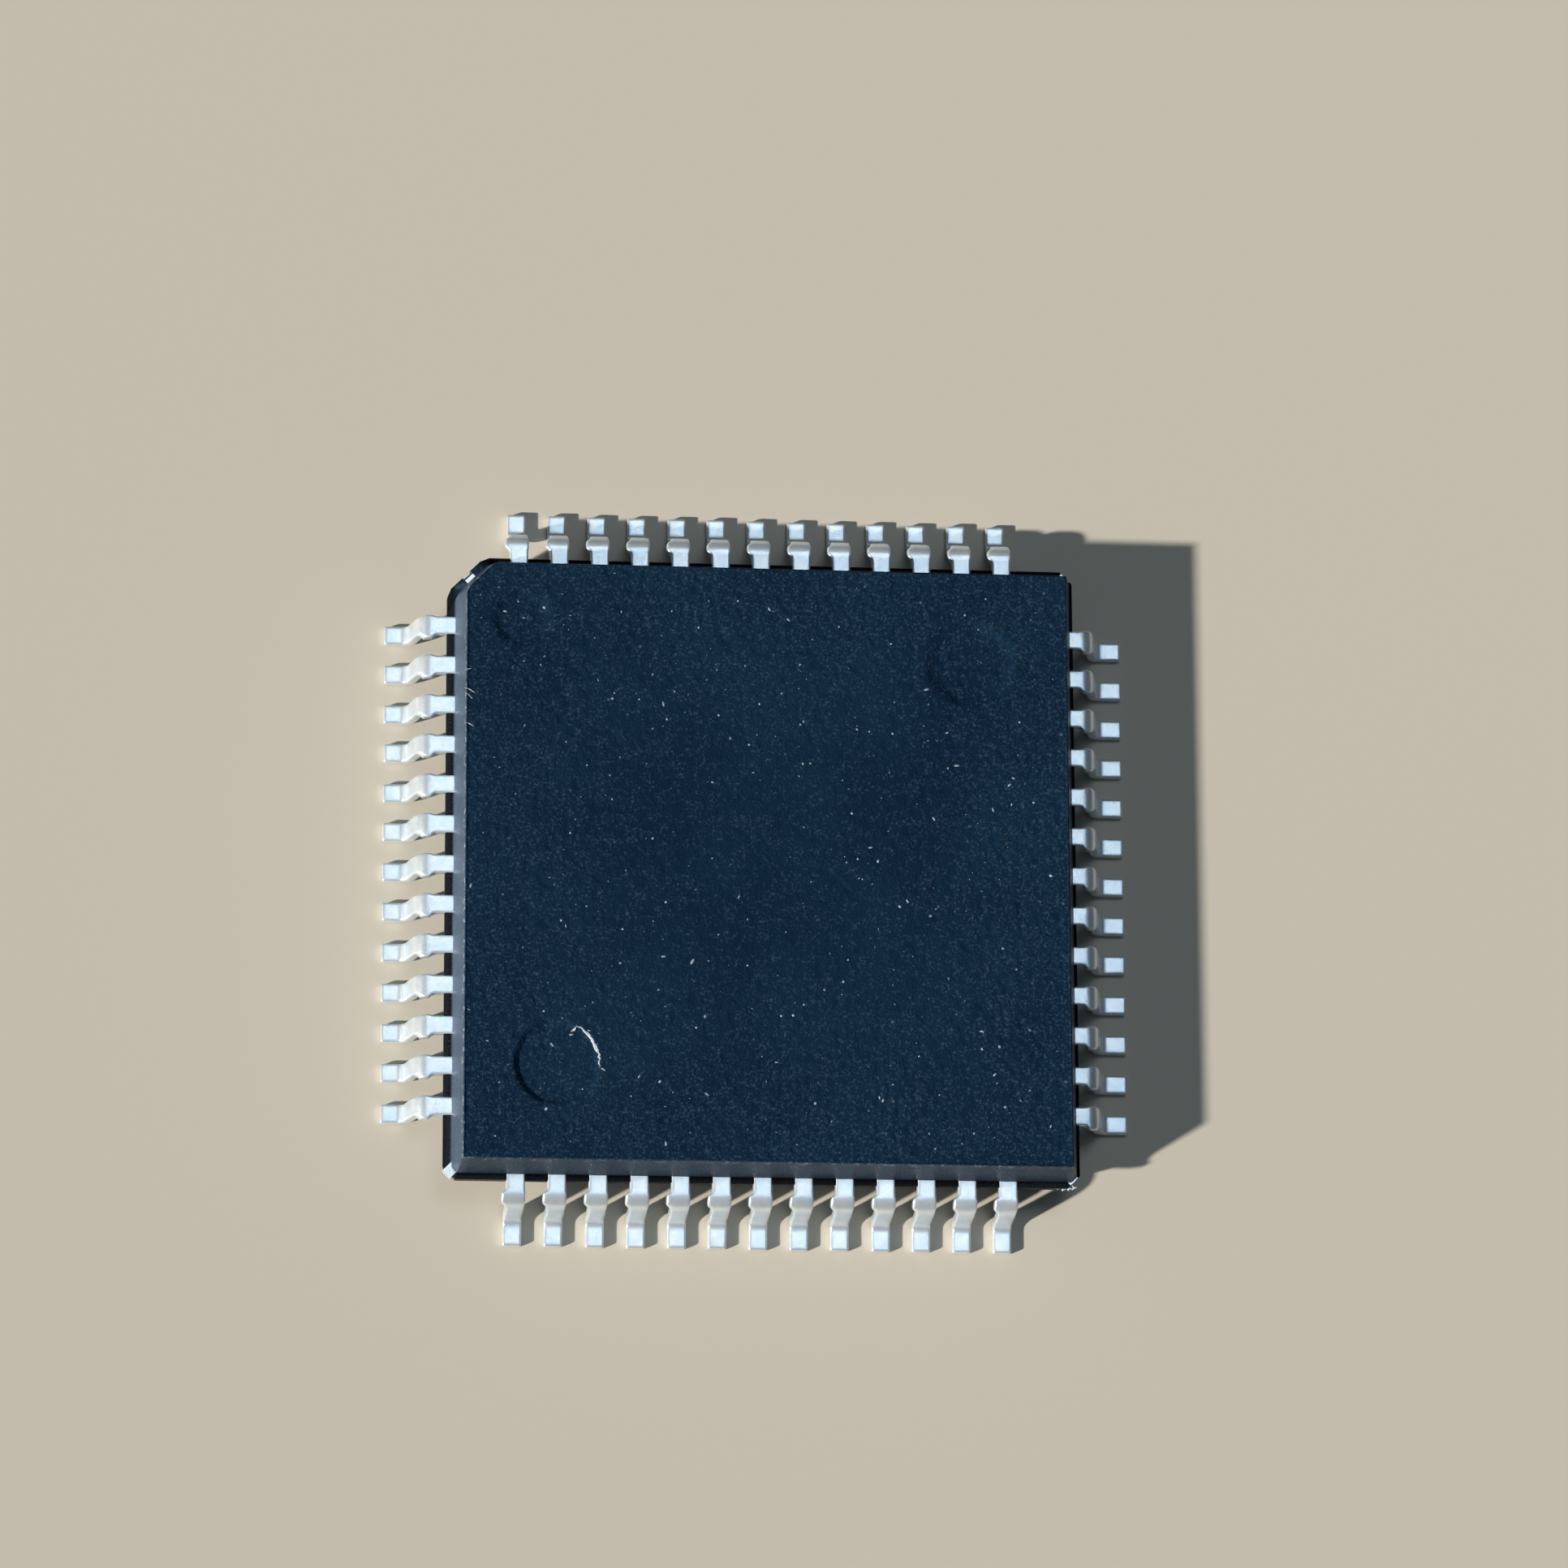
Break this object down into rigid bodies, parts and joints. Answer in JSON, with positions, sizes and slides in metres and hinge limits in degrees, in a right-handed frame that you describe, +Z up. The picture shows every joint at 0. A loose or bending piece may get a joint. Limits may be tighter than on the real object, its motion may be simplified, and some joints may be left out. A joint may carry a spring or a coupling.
{
  "type": "quad flat pack chip",
  "caption": "Square low-profile moulded chip package with gull-wing leads on all four sides, with its lead frame, die and bond wires inside.",
  "frame": {"origin": "centre of the package on the seating plane, under the soles of the feet", "axes": "+Z up out of the top face, +X towards the side of leads 27 to 39, +Y towards the side of leads 40 to 52; the lead 1 corner is -X +Y"},
  "size_m": [0.012, 0.012, 0.0015],
  "materials": {
    "moulding_compound": "blue-black epoxy, fine matte grain with pale filler specks",
    "tin_plating": "matte tin over copper alloy",
    "frame_copper": "bare copper alloy strip",
    "die_adhesive": "silver-filled epoxy",
    "silicon": "polished silicon",
    "gold_wire": "drawn gold"
  },
  "bodies": {
    "root": {"body": "moulding_compound", "lead_01": "tin_plating", "lead_02": "tin_plating", "lead_03": "tin_plating", "lead_04": "tin_plating", "lead_05": "tin_plating", "lead_06": "tin_plating", "lead_07": "tin_plating", "lead_08": "tin_plating", "lead_09": "tin_plating", "lead_10": "tin_plating", "lead_11": "tin_plating", "lead_12": "tin_plating", "lead_13": "tin_plating", "lead_14": "tin_plating", "lead_15": "tin_plating", "lead_16": "tin_plating", "lead_17": "tin_plating", "lead_18": "tin_plating", "lead_19": "tin_plating", "lead_20": "tin_plating", "lead_21": "tin_plating", "lead_22": "tin_plating", "lead_23": "tin_plating", "lead_24": "tin_plating", "lead_25": "tin_plating", "lead_26": "tin_plating", "lead_27": "tin_plating", "lead_28": "tin_plating", "lead_29": "tin_plating", "lead_30": "tin_plating", "lead_31": "tin_plating", "lead_32": "tin_plating", "lead_33": "tin_plating", "lead_34": "tin_plating", "lead_35": "tin_plating", "lead_36": "tin_plating", "lead_37": "tin_plating", "lead_38": "tin_plating", "lead_39": "tin_plating", "lead_40": "tin_plating", "lead_41": "tin_plating", "lead_42": "tin_plating", "lead_43": "tin_plating", "lead_44": "tin_plating", "lead_45": "tin_plating", "lead_46": "tin_plating", "lead_47": "tin_plating", "lead_48": "tin_plating", "lead_49": "tin_plating", "lead_50": "tin_plating", "lead_51": "tin_plating", "lead_52": "tin_plating", "die_paddle": "frame_copper", "die_attach": "die_adhesive", "silicon_die": "silicon", "bond_wires_west": "gold_wire", "bond_wires_south": "gold_wire", "bond_wires_east": "gold_wire", "bond_wires_north": "gold_wire"}
  },
  "joints": []
}
